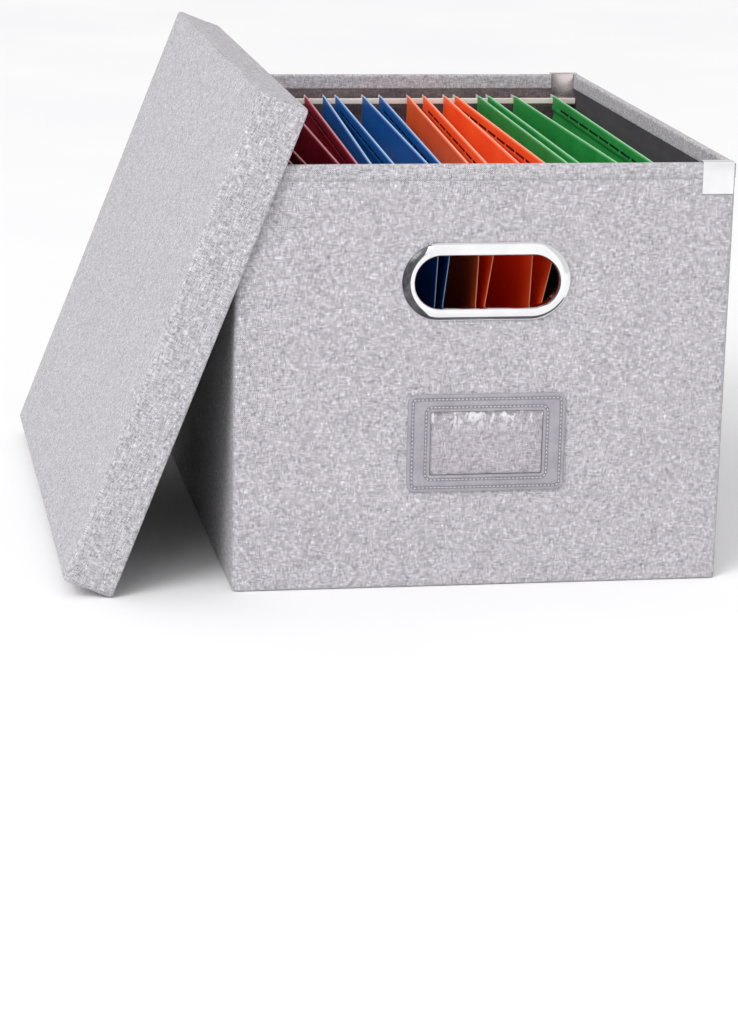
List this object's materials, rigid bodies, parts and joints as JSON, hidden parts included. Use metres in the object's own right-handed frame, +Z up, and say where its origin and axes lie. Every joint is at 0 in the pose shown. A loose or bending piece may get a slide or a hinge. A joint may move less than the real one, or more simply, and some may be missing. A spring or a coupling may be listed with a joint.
{
  "type": "file storage box",
  "caption": "Open fabric file box with grommet handles, a label holder, hanging folders on steel rails, and its lift-off lid leaning on one rim.",
  "frame": {"origin": "centre of the box's underside", "axes": "+Z up, +Y to the back, away from the label holder, and +X to the right, away from the leaning lid"},
  "size_m": [0.4142, 0.426, 0.3113],
  "materials": {
    "grey_cloth": "woven linen-look polyester",
    "charcoal_lining": "felted non-woven",
    "greyboard": "uncoated pressed board",
    "chromed_steel": "polished",
    "steel_rail": "polished",
    "steel_rod": "plain",
    "grey_leatherette": "fine grain",
    "clear_film": "gloss",
    "maroon_stock": "coated card",
    "blue_stock": "coated card",
    "orange_stock": "coated card",
    "green_stock": "coated card"
  },
  "bodies": {
    "box": {"base_cloth": "grey_cloth", "outer_cover": "grey_cloth", "front_board": "greyboard", "back_board": "greyboard", "left_front_board": "greyboard", "left_back_board": "greyboard", "right_front_board": "greyboard", "right_back_board": "greyboard", "bottom_board": "greyboard", "lining": "charcoal_lining", "base_insert": "charcoal_lining", "front_handle_ring": "chromed_steel", "back_handle_ring": "chromed_steel", "front_handle_backing": "chromed_steel", "back_handle_backing": "chromed_steel", "label_frame": "grey_leatherette", "label_window": "clear_film", "front_rail": "steel_rail", "back_rail": "steel_rail", "front_left_clip": "chromed_steel", "front_right_clip": "chromed_steel", "back_left_clip": "chromed_steel", "back_right_clip": "chromed_steel"},
    "lid": {"lid_panel_board": "greyboard", "lid_lower_skirt_board": "greyboard", "lid_upper_skirt_board": "greyboard", "lid_front_skirt_board": "greyboard", "lid_back_skirt_board": "greyboard", "lid_cover": "grey_cloth", "lid_hem_strips": "grey_cloth", "lid_lining": "charcoal_lining"},
    "maroon_folder_1": {"maroon_folder_1_sheet": "maroon_stock", "maroon_folder_1_rods": "steel_rod"},
    "maroon_folder_2": {"maroon_folder_2_sheet": "maroon_stock", "maroon_folder_2_rods": "steel_rod"},
    "blue_folder_1": {"blue_folder_1_sheet": "blue_stock", "blue_folder_1_rods": "steel_rod"},
    "blue_folder_2": {"blue_folder_2_sheet": "blue_stock", "blue_folder_2_rods": "steel_rod"},
    "orange_folder_1": {"orange_folder_1_sheet": "orange_stock", "orange_folder_1_rods": "steel_rod"},
    "orange_folder_2": {"orange_folder_2_sheet": "orange_stock", "orange_folder_2_rods": "steel_rod"},
    "green_folder_1": {"green_folder_1_sheet": "green_stock", "green_folder_1_rods": "steel_rod"},
    "green_folder_2": {"green_folder_2_sheet": "green_stock", "green_folder_2_rods": "steel_rod"}
  },
  "joints": [
    {"name": "lid_lift", "type": "slide", "parent": "box", "child": "lid", "axis": [0, 0, 1], "range_m": [0, 0.3]},
    {"name": "maroon_folder_1_lift", "type": "slide", "parent": "box", "child": "maroon_folder_1", "axis": [0, 0, 1], "range_m": [0, 0.25]},
    {"name": "maroon_folder_2_lift", "type": "slide", "parent": "box", "child": "maroon_folder_2", "axis": [0, 0, 1], "range_m": [0, 0.25]},
    {"name": "blue_folder_1_lift", "type": "slide", "parent": "box", "child": "blue_folder_1", "axis": [0, 0, 1], "range_m": [0, 0.25]},
    {"name": "blue_folder_2_lift", "type": "slide", "parent": "box", "child": "blue_folder_2", "axis": [0, 0, 1], "range_m": [0, 0.25]},
    {"name": "orange_folder_1_lift", "type": "slide", "parent": "box", "child": "orange_folder_1", "axis": [0, 0, 1], "range_m": [0, 0.25]},
    {"name": "orange_folder_2_lift", "type": "slide", "parent": "box", "child": "orange_folder_2", "axis": [0, 0, 1], "range_m": [0, 0.25]},
    {"name": "green_folder_1_lift", "type": "slide", "parent": "box", "child": "green_folder_1", "axis": [0, 0, 1], "range_m": [0, 0.25]},
    {"name": "green_folder_2_lift", "type": "slide", "parent": "box", "child": "green_folder_2", "axis": [0, 0, 1], "range_m": [0, 0.25]}
  ]
}
